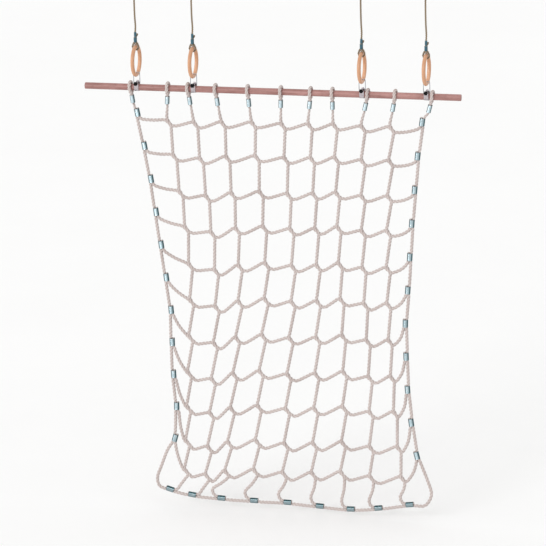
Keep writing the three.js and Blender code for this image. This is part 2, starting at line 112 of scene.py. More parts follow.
FERRULE_LENGTH = 57
FERRULE_HALF = (20.5, 16.5)  # half its width and half its thickness
FERRULE_FLAT = 2.2  # how squarely the broad faces turn into the round sides
FERRULE_LIP = ((4, 4.2), (0.6, 3.2), (0, 2.4), (0.2, 1.0), (1.2, 0.2))  # in from the end and the surface
FERRULE_BANDS, BAND_MARGIN = 8, 2  # the press's flat bands, and what is left free at each end
BAND_EDGE = ((0.3, 0.0, 0.04), (1.4, 0.55, 0.06))  # in from the band's edge and the surface, and flattened
BAND_WIDE = 7  # how far across the broad face the flattening reaches
# How far the painted rim shade reaches round each kind of sleeve: dark teal painted where a sleeve turns away
# from the front and back, standing in for dark reflections at its edges.
RIM_SHADE_REACH = {"loop": -0.08, "left": 0.12, "right": 0.12, "bottom": 0.2}
PRESSED = 9.5  # from the middle of a ferrule to each of its two pressed ropes
PRESSED_SHARE = 0.7  # of a rope's thickness, inside a ferrule
PRESSED_REACH = 3.2  # times PRESSED: a rope further than this from a ferrule's axis is not in it
CUT_END = 5  # how far a pressed rope's cut end shows past its ferrule
PRESSED_ENTRY = ((2, 2 * PRESSED), (20, 24))  # before the ferrule, and out from the border rope's axis
SWELL_RUN = 12  # the rope is back at its full thickness this far past a ferrule's end
TIGHT_RUN = 112  # and this far below a loop's ferrule, where the net's whole weight draws it thin
LOOP_RADIUS = BAR_RADIUS + NET_ROPE + 0.4
LOOP_DROP, LOOP_LEAN = 88, 0.35
LOOP_TURN = range(200, -21, -20)  # degrees round the bar, from the front over its top to the back
LOOP_TAIL, LOOP_STEM = 7, 5  # how far the short end and the rope itself run straight below the ferrule
SPLICE = 5.5  # from the middle of a crossing to each of its two ropes
SPLICE_TURN = ((1.0, 20), (0.45, 60), (0.0, 90), (-0.45, 120), (-1.0, 160))  # shares of ENTER, and degrees


def new_object(name, data):
    made = bpy.data.objects.new(name, data)
    bpy.context.scene.collection.objects.link(made)
    return made


# ---------- camera
VIEW_AZIMUTH, VIEW_ELEVATION, VIEW_DISTANCE, VIEW_ROLL = 13.5, 17.0, 30.0, 1.56
VIEW_TARGET = Vector((-0.024, 0, -2.248))
VIEW_LENS, SENSOR_WIDTH, CLIP_END = 270.96, 36, 100


def add_camera():
    camera = new_object("camera", bpy.data.cameras.new("camera"))
    bpy.context.scene.camera = camera
    camera.data.lens = VIEW_LENS
    camera.data.sensor_width = SENSOR_WIDTH
    camera.data.clip_end = CLIP_END
    a, e = math.radians(VIEW_AZIMUTH), math.radians(VIEW_ELEVATION)
    back = Vector((math.sin(a) * math.cos(e), -math.cos(a) * math.cos(e), math.sin(e)))
    turn = back.to_track_quat("Z", "Y").to_matrix().to_4x4()
    roll = Matrix.Rotation(math.radians(-VIEW_ROLL), 4, "Z")
    camera.matrix_world = Matrix.Translation(VIEW_TARGET + VIEW_DISTANCE * back) @ turn @ roll


# ---------- materials
class Nodes:
    """Short calls for one material's node tree."""

    def __init__(self, name):
        self.material = bpy.data.materials.new(name)
        self.material.use_nodes = True
        self.tree = self.material.node_tree
        self.shader = self.tree.nodes["Principled BSDF"]

    def link(self, source, target):
        if isinstance(source, bpy.types.NodeSocket):
            self.tree.links.new(source, target)
        else:
            target.default_value = source

    def node(self, kind, inputs=None, **settings):
        node = self.tree.nodes.new(kind)
        for key, value in settings.items():
            setattr(node, key, value)
        for key, value in (inputs or {}).items():
            self.link(value, node.inputs[key])
        return node

    def uv(self, scale):
        where = self.node("ShaderNodeUVMap", uv_map="along").outputs["UV"]
        return self.stretched(where, (*scale, 1))

    def place(self, scale=(1, 1, 1)):
        return self.stretched(self.node("ShaderNodeTexCoord").outputs["Object"], scale)

    def stretched(self, where, scale):
        return self.node("ShaderNodeMapping", {"Vector": where, "Scale": scale}).outputs["Vector"]

    def noise(self, where, scale, detail=3, rough=0.55, distortion=0.0):
        inputs = {"Vector": where, "Scale": scale, "Detail": detail, "Roughness": rough}
        inputs["Distortion"] = distortion
        return self.node("ShaderNodeTexNoise", inputs).outputs["Fac"]

    def attribute(self, name):
        return self.node("ShaderNodeAttribute", attribute_name=name).outputs["Fac"]

    def ramp(self, value, low, high, out_low=0.0, out_high=1.0):
        names = ("Value", "From Min", "From Max", "To Min", "To Max")
        inputs = dict(zip(names, (value, low, high, out_low, out_high)))
        return self.node("ShaderNodeMapRange", inputs).outputs["Result"]

    def mix(self, share, a, b):
        node = self.node("ShaderNodeMix", data_type="RGBA")
        self.link(share, node.inputs["Factor"])
        for value, socket in ((a, node.inputs[6]), (b, node.inputs[7])):
            self.link((*value, 1) if isinstance(value, tuple) else value, socket)
        return node.outputs[2]

    def bump(self, height, strength, distance, below=None):
        inputs = {"Height": height, "Strength": strength, "Distance": distance}
        if below is not None:
            inputs["Normal"] = below
        return self.node("ShaderNodeBump", inputs).outputs["Normal"]

    def finish(self, **inputs):
        for key, value in inputs.items():
            self.link(value, self.shader.inputs[key.replace("_", " ")])
        return self.material


def rope_material(name, light, dark, soil_and_groove_shade, yarns):
    """Laid rope: yarns lie along its axis, and the grooves between its strands are darkened as painted shade.
    """
    n = Nodes(name)
    yarn = n.noise(n.uv((yarns, 45)), 1.0, 2, 0.6)
    fibre = n.noise(n.uv((yarns * 3, 160)), 1.0, 3, 0.7)
    patches = n.noise(n.place(), 5.0, 4, 0.6)
    groove = n.attribute("groove")
    colour = n.mix(n.ramp(yarn, 0.3, 0.7), dark, light)
    colour = n.mix(n.ramp(fibre, 0.35, 0.75, 0.0, 0.35), colour, dark)
    colour = n.mix(n.ramp(patches, 0.45, 0.75, 0.0, 0.4), colour, soil_and_groove_shade)
    # Painted shade: the deeper a point lies in a groove between strands, the darker it is, towards the soil
    # colour.
    colour = n.mix(n.ramp(groove, 0.25, 1.0, 0.0, 0.55), colour, soil_and_groove_shade)
    fine = n.bump(fibre, 0.25, 0.0004)
    normal = n.bump(yarn, 0.55, 0.0012, fine)
    rough = n.ramp(fibre, 0.3, 0.7, 0.78, 0.95)
    n.shader.inputs["Sheen Weight"].default_value = 0.2
    n.shader.inputs["Sheen Roughness"].default_value = 0.6
    return n.finish(Base_Color=colour, Roughness=rough, Normal=normal)


def wood_material(name, light, dark, pore, rough, along, across):
    """Planed wood with long grain, short open pores and a worn, slightly polished surface."""
    n = Nodes(name)
    grain = n.noise(n.uv((across, along)), 1.0, 5, 0.62, 0.6)
    streak = n.noise(n.uv((across * 7, along * 1.3)), 1.0, 3, 0.6)
    pores = n.noise(n.uv((across * 14, along * 7)), 1.0, 2, 0.5)
    wear = n.noise(n.place(), 9.0, 4, 0.6)
    colour = n.mix(n.ramp(grain, 0.32, 0.68), dark, light)
    colour = n.mix(n.ramp(streak, 0.5, 0.8, 0.0, 0.5), colour, dark)
    colour = n.mix(n.ramp(pores, 0.6, 0.72, 0.0, 0.65), colour, pore)
    colour = n.mix(n.ramp(wear, 0.55, 0.8, 0.0, 0.25), colour, light)
    normal = n.bump(pores, 0.35, 0.0004, n.bump(grain, 0.2, 0.0008))
    roughness = n.ramp(wear, 0.3, 0.75, rough, rough - 0.16)
    return n.finish(Base_Color=colour, Roughness=roughness, Normal=normal)


def metal_material(name, light, dark, rough, scratch=(400, 12, 400)):
    """Plated or drawn metal with fine lines, clouded plating and small dents."""
    n = Nodes(name)
    lines = n.noise(n.place(scratch), 1.0, 3, 0.6)
    cloud = n.noise(n.place(), 60.0, 4, 0.6)
    colour = n.mix(n.ramp(cloud, 0.35, 0.7), dark, light)
    colour = n.mix(n.ramp(lines, 0.5, 0.8, 0.0, 0.4), colour, dark)
    roughness = n.ramp(lines, 0.3, 0.7, rough - 0.06, rough + 0.1)
    normal = n.bump(lines, 0.12, 0.0002, n.bump(cloud, 0.15, 0.0003))
    n.shader.inputs["Metallic"].default_value = 1.0
    return n.finish(Base_Color=colour, Roughness=roughness, Normal=normal)


def plastic_material(name, light, dark, rough):
    """Moulded plastic with a fine grain, rubbed smoother where hands turn it."""
    n = Nodes(name)
    grain = n.noise(n.place(), 900.0, 2, 0.5)
    rubbed = n.noise(n.place(), 110.0, 3, 0.6)
    colour = n.mix(n.ramp(rubbed, 0.4, 0.75), dark, light)
    roughness = n.ramp(rubbed, 0.35, 0.7, rough + 0.12, rough - 0.08)
    n.shader.inputs["Specular IOR Level"].default_value = 0.12
    return n.finish(Base_Color=colour, Roughness=roughness, Normal=n.bump(grain, 0.2, 0.0002))


def ferrule_material():
    """Bright pressed metal with a blue cast, with painted dark teal shade where it turns away from the front
    and back.
    """
    n = Nodes("ferrule")
    cloud = n.noise(n.place(), 45.0, 4, 0.65)
    lines = n.noise(n.place((60, 60, 240)), 1.0, 3, 0.6)
    colour = n.mix(n.ramp(cloud, 0.35, 0.7), (0.52, 0.66, 0.72), (0.74, 0.84, 0.88))
    colour = n.mix(n.ramp(lines, 0.5, 0.8, 0.0, 0.35), colour, (0.30, 0.48, 0.55))
    # Painted shade and reflection: dark teal where the sleeve's surface turns away from the front and back.
    colour = n.mix(n.ramp(n.attribute("painted_rim_shade"), 0.05, 0.4, 0.0, 0.95), colour, (0.018, 0.07, 0.08))
    roughness = n.ramp(lines, 0.3, 0.7, 0.2, 0.36)
    normal = n.bump(lines, 0.12, 0.0002, n.bump(cloud, 0.2, 0.0004))
    n.shader.inputs["Metallic"].default_value = 1.0
    return n.finish(Base_Color=colour, Roughness=roughness, Normal=normal)


def floor_material():
    n = Nodes("floor_paint")
    cloud = n.noise(n.place(), 0.6, 4, 0.6)
    colour = n.mix(cloud, (0.92, 0.92, 0.915), (0.95, 0.95, 0.945))
    return n.finish(Base_Color=colour, Roughness=0.9)


ROPES = {
    "net_rope": ((0.685, 0.615, 0.59), (0.54, 0.465, 0.44), (0.36, 0.285, 0.265), 30),
    "hanger_rope": ((0.33, 0.245, 0.145), (0.21, 0.15, 0.09), (0.12, 0.08, 0.05), 22),
    "whipping": ((0.05, 0.155, 0.205), (0.025, 0.09, 0.125), (0.02, 0.06, 0.08), 6),
}
WOODS = {
    "bar_wood": ((0.46, 0.24, 0.22), (0.25, 0.11, 0.095), (0.12, 0.05, 0.04), 0.5, 3.5, 3.0),
    "ring_wood": ((0.76, 0.43, 0.26), (0.52, 0.26, 0.14), (0.30, 0.13, 0.07), 0.42, 5.0, 1.6),
}
METALS = {
    "steel_wire": ((0.50, 0.51, 0.54), (0.32, 0.33, 0.36), 0.3),
    "chromed_strap": ((0.64, 0.59, 0.61), (0.44, 0.39, 0.41), 0.2, (25, 300, 300)),
    "steel_fitting": ((0.50, 0.51, 0.52), (0.34, 0.35, 0.37), 0.36, (90, 90, 90)),
}
MATERIALS = {
    **{name: rope_material(name, *looks) for name, looks in ROPES.items()},
    **{name: wood_material(name, *looks) for name, looks in WOODS.items()},
    **{name: metal_material(name, *looks) for name, looks in METALS.items()},
    "ferrule": ferrule_material(),
    "black_knob": plastic_material("black_knob", (0.004, 0.004, 0.0045), (0.002, 0.002, 0.0025), 0.5),
}


# ---------- mesh tools
SPAN_POINTS = 24  # worked out on a curve between two given points
HOLE_SIDES = 40
SMOOTH_BELOW = math.radians(35)  # edges that turn less are shaded smooth
FERRULE_SHARP, BAR_SHARP, KNOB_SHARP = map(math.radians, (45, 50, 60))  # the same for these shapes
BEVEL_ABOVE, BEVEL_STEPS = math.radians(40), 3  # edges that turn more are rounded, in so many steps


def unit(v):
    return v / np.linalg.norm(v, axis=-1, keepdims=True)


def run_along(line):
    """How far along a line each of its points lies."""
    return np.concatenate([[0], np.cumsum(np.linalg.norm(np.diff(line, axis=0), axis=1))])


def smooth(points, step, closed=False):
    """An even line of points on a Catmull-Rom curve through the given ones."""
    p = np.array(points, float)
    if closed:
        p = np.vstack([p[-1], p, p[0], p[1]])
    else:
        p = np.vstack([2 * p[0] - p[1], p, 2 * p[-1] - p[-2]])
    knots = np.concatenate([[0], np.cumsum(np.sqrt(np.linalg.norm(np.diff(p, axis=0), axis=1)))])
    dense = []
    for i in range(1, len(p) - 2):
        t = np.linspace(knots[i], knots[i + 1], SPAN_POINTS, endpoint=False)[:, None]
        t0, t1, t2, t3 = knots[i - 1 : i + 3]
        a1 = (t1 - t) / (t1 - t0) * p[i - 1] + (t - t0) / (t1 - t0) * p[i]
        a2 = (t2 - t) / (t2 - t1) * p[i] + (t - t1) / (t2 - t1) * p[i + 1]
        a3 = (t3 - t) / (t3 - t2) * p[i + 1] + (t - t2) / (t3 - t2) * p[i + 2]
        b1 = (t2 - t) / (t2 - t0) * a1 + (t - t0) / (t2 - t0) * a2
        b2 = (t3 - t) / (t3 - t1) * a2 + (t - t1) / (t3 - t1) * a3
        dense.append((t2 - t) / (t2 - t1) * b1 + (t - t1) / (t2 - t1) * b2)
    dense.append(p[-2][None])
    dense = np.vstack(dense)
    run = run_along(dense)
    count = max(2, round(run[-1] / step) + 1)
    at = np.linspace(0, run[-1], count)
    return np.column_stack([np.interp(at, run, dense[:, k]) for k in range(3)])


def turning_frames(line, closed):
    """Two normals at each point of the line, which turn as little as they can along it."""
    if closed:
        tangents = unit(np.roll(line, -1, 0) - np.roll(line, 1, 0))
    else:
        tangents = unit(np.gradient(line, axis=0))
    first = np.cross(tangents[0], (0, 1, 0) if abs(tangents[0][1]) < 0.9 else (1, 0, 0))
    normals = [unit(first)]
    for t in tangents[1:]:
        n = normals[-1] - np.dot(normals[-1], t) * t
        normals.append(n / math.sqrt(n @ n))
    normals = np.array(normals)
    return normals, np.cross(tangents, normals)


def round_angles(sides):
    return 2 * math.pi * np.arange(sides) / sides


def end_caps(rings, sides):
    """The two flat ends of a sweep."""
    last = (rings - 1) * sides
    return [list(range(sides))[::-1], [last + k for k in range(sides)]]


def grid_faces(rings, sides, closed):
    """Quads between neighbouring rings, with the corners in order round each ring."""
    last = rings if closed else rings - 1
    i = np.repeat(np.arange(last), sides)
    j = np.tile(np.arange(sides), last)
    after, beside = (i + 1) % rings, (j + 1) % sides
    return np.column_stack([i * sides + j, i * sides + beside, after * sides + beside, after * sides + j])


def new_mesh(name, vertices, faces, material):
    mesh = bpy.data.meshes.new(name)
    mesh.from_pydata((np.asarray(vertices) * MM).tolist(), [], [tuple(f) for f in faces])
    mesh.polygons.foreach_set("use_smooth", [True] * len(mesh.polygons))
    mesh.materials.append(MATERIALS[material])
    mesh.update()
    return mesh


def add_piece(name, mesh, body, replaces=()):
    """A new piece of the model, riding on its CAD body."""
    piece = new_object(name, mesh)
    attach(piece, body)
    if replaces:
        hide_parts(*replaces)
    return piece


def write_uv(mesh, around, along):
    """The UV map of a sweep's sides, whose quads come first. Its flat ends are left at zero."""
    layer = mesh.uv_layers.new(name="along")
    uv = np.zeros((len(mesh.loops), 2), np.float32)
    uv[: around.size, 0] = around.reshape(-1)
    uv[: along.size, 1] = along.reshape(-1)
    layer.data.foreach_set("uv", uv.reshape(-1))


def tube_mesh(name, line, radii, angles, phase, material, closed=False):
    """A swept mesh with its UV map: round the section, and along the line in metres.

    radii is spread over the rings and the corners of each, and phase turns each ring.
    """
    rings, sides = len(line), len(angles)
    normal, binormal = turning_frames(line, closed)
    phase = np.broadcast_to(phase, rings)
    turned = angles[None, :] + phase[:, None]
    reach = np.broadcast_to(radii, (rings, sides))[:, :, None]
    spokes = np.cos(turned)[:, :, None] * normal[:, None, :]
    spokes = spokes + np.sin(turned)[:, :, None] * binormal[:, None, :]
    vertices = (line[:, None, :] + reach * spokes).reshape(-1, 3)
    faces = grid_faces(rings, sides, closed).tolist()
    quads = len(faces)
    if not closed:
        faces += end_caps(rings, sides)
    mesh = new_mesh(name, vertices, faces, material)
    run = run_along(line) * MM
    quad = np.array(faces[:quads])
    ring = quad // sides
    corner = quad % sides
    corner[:, [1, 2]] = corner[:, [0, 3]] + 1
    step = 2 * math.pi / sides
    after = np.append(run[1:], 2 * run[-1] - run[-2])
    start = ring[:, [0, 0, 0, 0]]
    along = np.where(ring == start, run[start], after[start])
    around = (corner * step + phase[ring]) / (2 * math.pi)
    write_uv(mesh, around, along)
    return mesh


STRANDS, STRAND_CORNERS = 3, 6
GROOVE = 0.3  # depth of the groove between two strands, as a share of the rope's radius
NET_STEP, HANGER_STEP, SEIZING_STEP = 5.0, 3.5, 2.5  # from ring to ring of a rope's mesh


def squeezed(line, sleeves):
    """A rope's thickness at each point of its line, as a share of its full one: less in a pressed sleeve."""
    share = np.ones(len(line))
    for centre, along, swell_below in sleeves:
        off = line - centre
        run = off @ along
        swell = np.where(run < 0, swell_below, SWELL_RUN)
        aside = np.linalg.norm(off - run[:, None] * along, axis=1)
        near = np.clip((FERRULE_LENGTH / 2 + swell - np.abs(run)) / swell, 0, 1)
        near = near * near * (3 - 2 * near)
        near = near * np.clip((PRESSED_REACH * PRESSED - aside) / PRESSED, 0, 1)
        share = np.minimum(share, 1 - (1 - PRESSED_SHARE) * near)
    return share


def rope_mesh(name, points, radius, lay, material, step, sleeves=()):
    """A three-strand laid rope along a smooth line through the points."""
    line = smooth(points, step)
    corners = STRANDS * STRAND_CORNERS
    angles = round_angles(corners)
    strand = radius / (1 + 2 / math.sqrt(3))
    centre = radius - strand
    off = angles % (2 * math.pi / STRANDS) - math.pi / STRANDS
    root = np.sqrt(np.maximum(strand**2 - (centre * np.sin(off)) ** 2, 0))
    radii = centre * np.cos(off) + root
    radii = np.maximum(radii, (1 - GROOVE) * radius)
    run = step * np.arange(len(line))
    reach = squeezed(line, sleeves)[:, None] * radii
    mesh = tube_mesh(name, line, reach, angles, 2 * math.pi * run / lay, material)
    # How deep each corner lies in a groove between strands: the rope's material paints shade there.
    groove = mesh.attributes.new("groove", "FLOAT", "POINT")
    depth = np.tile(1 - radii / radius, len(line)) / GROOVE
    groove.data.foreach_set("value", depth.astype(np.float32))
    return mesh, line


def bevelled(name, outline, depth, material, bevel, holes=()):
    """A plate from an outline in its own X and Y, thick along Z, with rounded edges and round holes."""
    work = bmesh.new()
    corners = [work.verts.new((x * MM, y * MM, 0)) for x, y in outline]
    face = work.faces.new(corners)
    grown = bmesh.ops.extrude_face_region(work, geom=[face])
    moved = [v for v in grown["geom"] if isinstance(v, bmesh.types.BMVert)]
    bmesh.ops.translate(work, verts=moved, vec=(0, 0, depth * MM))
    bmesh.ops.recalc_face_normals(work, faces=work.faces)
    mesh = bpy.data.meshes.new(name)
    work.to_mesh(mesh)
    work.free()
    piece = new_object(name, mesh)
    cutters = []
    for x, y, radius in holes:
        middle = (x * MM, y * MM, depth * MM / 2)
        bpy.ops.mesh.primitive_cylinder_add(
            vertices=HOLE_SIDES, radius=radius * MM, depth=4 * depth * MM, location=middle
        )
        cutters.append(bpy.context.active_object)
        cut = piece.modifiers.new("cut", "BOOLEAN")
        cut.operation = "DIFFERENCE"
        cut.solver = "EXACT"
        cut.object = cutters[-1]
    rounding = piece.modifiers.new("rounding", "BEVEL")
    rounding.width = bevel * MM
    rounding.segments = BEVEL_STEPS
    rounding.limit_method = "ANGLE"
    rounding.angle_limit = BEVEL_ABOVE
    return baked(piece, cutters, name, material)


def baked(piece, cutters, name, material):
    """The mesh of a piece with its modifiers applied, shaded smooth up to sharp edges."""
    bpy.context.view_layer.update()
    shape = piece.evaluated_get(bpy.context.evaluated_depsgraph_get())
    mesh = bpy.data.meshes.new_from_object(shape)
    mesh.name = name
    for o in [piece, *cutters]:
        bpy.data.objects.remove(o)
    mesh.materials.clear()
    mesh.materials.append(MATERIALS[material])
    mesh.polygons.foreach_set("use_smooth", [True] * len(mesh.polygons))
    mesh.set_sharp_from_angle(angle=SMOOTH_BELOW)
    return mesh


def circle(radius, count, start=0.0, end=2 * math.pi):
    angles = np.linspace(start, end, count, endpoint=end - start < 2 * math.pi)
    return [(radius * math.cos(a), radius * math.sin(a)) for a in angles]


def stacked(name, rings, material, sharp_above, hollow=False):
    """A mesh through rings of points: hollow, from the last to the first again, or closed by flat ends."""
    sides = len(rings[0])
    faces = grid_faces(len(rings), sides, hollow).tolist()
    if not hollow:
        faces += end_caps(len(rings), sides)
    mesh = new_mesh(name, np.vstack(rings), faces, material)
    mesh.set_sharp_from_angle(angle=sharp_above)
    return mesh


def turned(name, profile, sides, material, hollow=False):
    """A body of revolution about its own Z, from (z, radius) pairs: hollow, or closed by flat ends."""
    rings = [[(r * math.cos(a), r * math.sin(a), z) for a in round_angles(sides)] for z, r in profile]
    return stacked(name, rings, material, SMOOTH_BELOW, hollow)


def placed(piece_mesh, x, y, z, turn=None):
    """A copy of a mesh, turned and then moved in the part's frame."""
    mesh = piece_mesh.copy()
    matrix = Matrix.Translation(Vector((x, y, z)) * MM)
    mesh.transform(matrix @ turn if turn else matrix)
    return mesh


TO_FRONT = Matrix.Rotation(math.radians(90), 4, "X")  # a mesh's Z turns to -Y
TO_SIDE = Matrix(((0, 0, 1, 0), (1, 0, 0, 0), (0, 1, 0, 0), (0, 0, 0, 1)))  # X, Y, Z turn to Y, Z, X

# ---------- ceiling ropes
EYE_LEG = 8  # from the middle of the head lashing to each of the rope's two legs
RING_EYE, BOW_EYE = 22.8, 12.8  # radius of the rope's axis round the ring and round the bow
RING_TURN = (30, 0, -35, -70, -110, -145, -180, -210)  # degrees round the ring's wood
BOW_TURN = (205, 170, 130, 90, 50, 10, -25)  # degrees round the bow
RING_TOP = RING_Z + RING_RADIUS
BOW_BOTTOM = PIVOT_Z - BOW_RADIUS
# Heights above the ring's top, with the turn in degrees of the two legs, which twist round each other.
LEG_TWIST = ((34, 20), (50, 68), (70, 85), (90, 100), (112, 115))
SHORT_END = ((15, 1, 97), (13, 3, 85))  # where the rope's lower end shows, from the ring's top
STANDING_PART = ((EYE_LEG / 2, 150), (1, 230))  # sideways, and above the ring's top
HEAD_LEGS, HEAD_SPLIT = (-96, -34), -130  # heights from the bottom of the bow
# A lashing above the ring: its two ends from the ring's top, and half its width.
FOOT_LASHINGS = (((0, 0, 33), (0, 0, 70), 15.2), ((1.5, -6.6, 76), (2.5, -5.6, 110), 9.4))
FOOT_ACROSS = math.radians(72)  # the direction from leg to leg under the foot lashings
HEAD_LASHING, HEAD_LASHING_WIDE = (-90, -34), 17
LASHING_THICK = 9.4  # half the thickness of every lashing
LASHING_TAPER, LASHING_FLAT = 14, 3  # how soon its ends are full, and how flat its two faces are
TWINE, TWINE_RINGS = 2.8, 4  # the twine's pitch, and the rings of the mesh in each pitch
TWINE_ALONG, TWINE_AROUND = 0.6, 0.002  # steps of the UV map from ring to ring and from corner to corner
# The seizing's height above the ring's top, its rise in a turn, and how it narrows as it rises.
SEIZING_LOW, SEIZING_PITCH, SEIZING_NARROWS = 20.5, 9.5, 0.55
SEIZING_WIDE, SEIZING_DEEP = 20, 11
SEIZING_ROPE, SEIZING_LAY = 4.6, 30
SEIZING_START, SEIZING_IN_TURN = 200, 10  # degrees at its step 0, and steps in a turn
SEIZING_FIRST, SEIZING_LAST, SEIZING_TUCK = -1, 13, 0.25  # its two end steps, drawn in to this share


def hanger_points(x):
    """One rope: an eye round the ring, the standing part, and an eye over the shackle's bow."""

    def twisted(rise, turn, side):
        a = math.radians(turn)
        reach = side * HANGER_ROPE
        return (x + reach * math.cos(a), reach * math.sin(a), RING_TOP + rise)

    low_turn = [
        (x + RING_EYE * math.cos(a), 0, RING_TOP + RING_EYE * math.sin(a))
        for a in map(math.radians, RING_TURN)
    ]
    high_turn = [
        (x, -BOW_EYE * math.cos(a), BOW_BOTTOM + BOW_EYE * math.sin(a))
        for a in map(math.radians, BOW_TURN)
    ]
    return [
        *[(x + aside, depth, RING_TOP + rise) for aside, depth, rise in SHORT_END],
        *[twisted(rise, turn, 1) for rise, turn in reversed(LEG_TWIST[:3])],
        *low_turn,
        *[twisted(rise, turn, -1) for rise, turn in LEG_TWIST],
        *[(x + aside, 0, RING_TOP + rise) for aside, rise in STANDING_PART],
        (x, EYE_LEG / 2, BOW_BOTTOM + HEAD_SPLIT),
        *[(x, EYE_LEG, BOW_BOTTOM + z) for z in HEAD_LEGS],
        *high_turn,
        *[(x, -EYE_LEG, BOW_BOTTOM + z) for z in reversed(HEAD_LEGS)],
    ]


def whipping_mesh(name, low, high, across, wide):
    """Twine wound round one rope, or round two side by side. across runs from one rope to the other."""
    rings = int((high[2] - low[2]) / TWINE) * TWINE_RINGS + 1
    sides = 36
    flat = wide - LASHING_THICK
    angle = round_angles(sides)
    share = np.linspace(0, 1, rings)[:, None]
    wound = np.arange(rings)[:, None] / TWINE_RINGS + angle / (2 * math.pi)
    ridge = 0.5 * TWINE * np.abs(np.sin(math.pi * wound))
    taper = np.minimum(1, np.minimum(share, 1 - share) * LASHING_TAPER) ** 0.5
    thick = LASHING_THICK - TWINE / 2 + ridge * taper
    out = thick * np.cos(angle) + flat * np.clip(np.cos(angle) * LASHING_FLAT, -1, 1)
    off = thick * np.sin(angle)
    axis = unit(np.array(high, float) - np.array(low, float))
    side = np.array(across, float)
    depth = np.cross(axis, side)
    middle = np.array(low) + share * (np.array(high) - np.array(low))
    vertices = middle[:, None, :] + out[:, :, None] * side + off[:, :, None] * depth
    faces = grid_faces(rings, sides, False).tolist()
    faces += end_caps(rings, sides)
    mesh = new_mesh(name, vertices.reshape(-1, 3), faces, "whipping")
    quad = np.array(faces[: (rings - 1) * sides])
    write_uv(mesh, quad // sides * TWINE_ALONG, quad % sides * TWINE_AROUND)
    mesh.attributes.new("groove", "FLOAT", "POINT")
    return mesh


def seizing_points(x):
    """The rope's own turns round the eye's two legs, with both ends tucked in between them."""
    points = []
    for step in range(SEIZING_FIRST, SEIZING_LAST + 1):
        a = math.radians(SEIZING_START + 360 * step / SEIZING_IN_TURN)
        rise = SEIZING_LOW + SEIZING_PITCH * step / SEIZING_IN_TURN
        tucked = SEIZING_TUCK if step in (SEIZING_FIRST, SEIZING_LAST) else 1
        reach = tucked * (SEIZING_WIDE - SEIZING_NARROWS * (rise - SEIZING_LOW))
        points.append((x + reach * math.cos(a), tucked * SEIZING_DEEP * math.sin(a), RING_TOP + rise))
    return points


def build_hanger(k, x):
    """One ceiling rope with its lashings. Returns its piece, its line and its length in metres."""
    name = f"ceiling_rope_{k}"
    points = hanger_points(x)
    mesh, line = rope_mesh(name, points, HANGER_ROPE, HANGER_LAY, "hanger_rope", HANGER_STEP)
    rope = add_piece(name, mesh, f"hanger_{k}", [f"hanger_rope_{k}"])
    length = float(run_along(line)[-1]) * MM
    across = (math.cos(FOOT_ACROSS), math.sin(FOOT_ACROSS), 0)
    for label, (*ends, wide) in zip(("low", "high"), FOOT_LASHINGS):
        low, high = [(x + run, depth, RING_TOP + rise) for run, depth, rise in ends]
        foot = whipping_mesh(f"{label}_whipping_{k}", low, high, across, wide)
        add_piece(f"{label}_whipping_{k}", foot, f"hanger_{k}")
    points = seizing_points(x)
    name = f"eye_seizing_{k}"
    turns, _ = rope_mesh(name, points, SEIZING_ROPE, SEIZING_LAY, "hanger_rope", SEIZING_STEP)
    add_piece(name, turns, f"hanger_{k}")
    low, high = [(x, 0, BOW_BOTTOM + z) for z in HEAD_LASHING]
    head = whipping_mesh(f"head_whipping_{k}", low, high, (0, 1, 0), HEAD_LASHING_WIDE)
    add_piece(f"head_whipping_{k}", head, f"hanger_{k}")
    return rope, line, length


# ---------- shackles and ceiling plates
BOW_POINTS, BOW_SIDES = 25, 16
PIN_PAST = 8  # how far the pin runs past the bow's axis
PIN_SIDES = 28
PLATE_HALF, PLATE_CORNER, PLATE_THICK = (45, 30), 5, 6
PLATE_HOLES = [(-31, 0, 4.5), (31, 0, 4.5)]  # two across the plate, with their radius
LUG_HALF, LUG_TOP, LUG_THICK, LUG_HOLE = 9, 35, 8, 4.35
FITTING_EDGE = 0.8  # the rounding of a fitting's edges


def build_shackle(k, x):
    turn = np.radians(np.linspace(0, 180, BOW_POINTS))
    bow = np.column_stack(
        [x + BOW_RADIUS * np.cos(turn), 0 * turn, PIVOT_Z - BOW_RADIUS * np.sin(turn)]
    )
    radii = np.full(BOW_SIDES, BOW_WIRE)
    mesh = tube_mesh(f"bow_{k}", bow, radii, round_angles(BOW_SIDES), 0, "steel_fitting")
    shackle = add_piece(f"bow_{k}", mesh, f"shackle_{k}", [f"shackle_{k}"])
    half = BOW_RADIUS + PIN_PAST
    # Along the pin, and its radius there: a plain pin with a head at each end.
    profile = [
        (-half - 2.5, 3.4),
        (-half - 2, 5.6),
        (-half + 1.6, 5.6),
        (-half + 2.2, BOW_WIRE),
        (half - 3.2, BOW_WIRE),
        (half - 2.6, 6.0),
        (half - 0.4, 6.0),
        (half, 5.2),
    ]
    pin = turned(f"shackle_pin_{k}", profile, PIN_SIDES, "steel_fitting")
    mesh = placed(pin, x, 0, PIVOT_Z, TO_SIDE)
    add_piece(f"shackle_pin_{k}", mesh, f"shackle_{k}")
    return shackle


def rounded_rectangle(half_x, half_y, corner, count=6):
    points = []
    for sx, sy, start in ((1, 1, 0), (-1, 1, 90), (-1, -1, 180), (1, -1, 270)):
        centre = (sx * (half_x - corner), sy * (half_y - corner))
        for step in range(count + 1):
            a = math.radians(start + 90 * step / count)
            points.append((centre[0] + corner * math.cos(a), centre[1] + corner * math.sin(a)))
    return points


